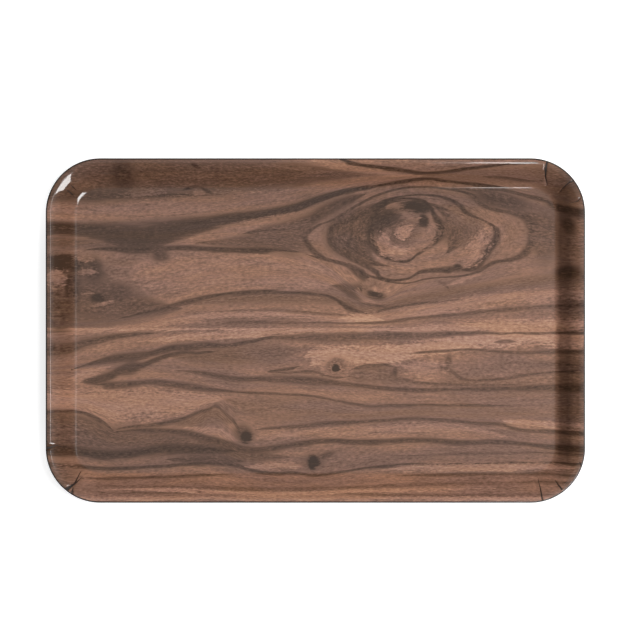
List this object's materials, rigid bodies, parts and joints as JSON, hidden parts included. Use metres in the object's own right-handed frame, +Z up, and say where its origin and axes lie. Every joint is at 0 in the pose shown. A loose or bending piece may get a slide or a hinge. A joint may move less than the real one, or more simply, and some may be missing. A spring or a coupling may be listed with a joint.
{
  "type": "serving tray",
  "caption": "Rectangular serving tray with rounded corners, a steep wall and a rolled-out rim, pressed from resin-soaked sheets with a walnut print.",
  "frame": {"origin": "middle of the underside, on the plane that the tray rests on", "axes": "+X along the tray, towards the end with the large knot in its print's upper half; +Y across the tray; +Z up out of the dish"},
  "size_m": [0.44, 0.281, 0.0188],
  "materials": {
    "clear_melamine": "clear gloss",
    "walnut_print": "gloss walnut wood-grain print",
    "phenolic_kraft": "trimmed dark brown laminate core",
    "dark_melamine": "plain dark satin"
  },
  "bodies": {
    "root": {"clear_overlay": "clear_melamine", "walnut_decor_sheet": "walnut_print", "kraft_ply_1": "phenolic_kraft", "kraft_ply_2": "phenolic_kraft", "kraft_ply_3": "phenolic_kraft", "kraft_ply_4": "phenolic_kraft", "kraft_ply_5": "phenolic_kraft", "backing_sheet": "dark_melamine"}
  },
  "joints": []
}
